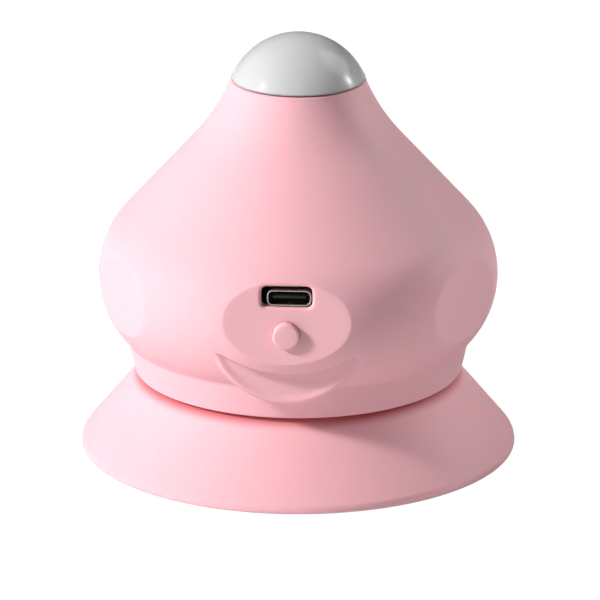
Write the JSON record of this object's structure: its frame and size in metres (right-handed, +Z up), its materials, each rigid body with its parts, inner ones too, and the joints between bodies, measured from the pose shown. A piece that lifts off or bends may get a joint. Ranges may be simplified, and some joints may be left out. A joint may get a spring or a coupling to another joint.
{
  "type": "uv led nail lamp",
  "caption": "Small rounded desk nail lamp with a soft light dome on top, a USB-C socket and push button on its front, and a flared foot it turns on.",
  "frame": {"origin": "middle of the foot's underside, on the table", "axes": "+Z up through the dome, the front with the socket and button faces -Y, +X to the lamp's left"},
  "size_m": [0.0904, 0.0904, 0.0879],
  "materials": {
    "pink_plastic": "satin moulded pink ABS with a fine even grain",
    "pink_silicone": "soft matte pink silicone",
    "grey_silicone": "glossy pale grey translucent silicone",
    "clear_acrylic": "clear polished acrylic",
    "led_package": "cream resin lens on a ceramic base",
    "white_mask": "white solder mask on an aluminium board",
    "green_board": "green solder mask",
    "aluminium": "plain machined aluminium",
    "nickel_steel": "nickel plated steel",
    "black_plastic": "black moulded plastic",
    "white_plastic": "off-white nylon",
    "blue_sleeve": "blue shrink sleeve over a metal can",
    "black_foam": "black foam with adhesive faces",
    "red_sleeve": "red silicone wire sleeve",
    "black_sleeve": "black silicone wire sleeve"
  },
  "bodies": {
    "foot": {"foot": "pink_silicone"},
    "lamp": {"housing_shell": "pink_plastic", "bottom_cover": "pink_plastic", "press_dome": "grey_silicone", "led_lens": "clear_acrylic", "uv_led_1": "led_package", "uv_led_2": "led_package", "uv_led_3": "led_package", "led_board": "white_mask", "heat_sink": "aluminium", "heat_sink_screw_1": "nickel_steel", "heat_sink_screw_2": "nickel_steel", "main_board": "green_board", "board_screw_1": "nickel_steel", "board_screw_2": "nickel_steel", "usb_c_shell": "nickel_steel", "usb_c_tongue": "black_plastic", "switch_body": "black_plastic", "charge_controller": "black_plastic", "power_inductor": "black_plastic", "buffer_capacitor": "aluminium", "led_connector": "white_plastic", "battery_connector": "white_plastic", "battery_cell": "blue_sleeve", "battery_pad": "black_foam", "battery_lead_red": "red_sleeve", "battery_lead_black": "black_sleeve", "led_lead_red": "red_sleeve", "led_lead_black": "black_sleeve", "cover_screw_1": "nickel_steel", "cover_screw_2": "nickel_steel", "cover_screw_3": "nickel_steel", "cover_screw_4": "nickel_steel"},
    "button": {"power_button": "pink_plastic", "switch_plunger": "black_plastic"}
  },
  "joints": [
    {"name": "lamp_swivel", "type": "hinge", "parent": "foot", "child": "lamp", "pos_m": [0, 0, 0.0183], "axis": [0, 0, 1], "continuous": true},
    {"name": "button_press", "type": "slide", "parent": "lamp", "child": "button", "axis": [0, 1, 0], "range_m": [0, 0.0004], "stiffness_N_per_m": 3000, "springref_m": -0.0001}
  ]
}
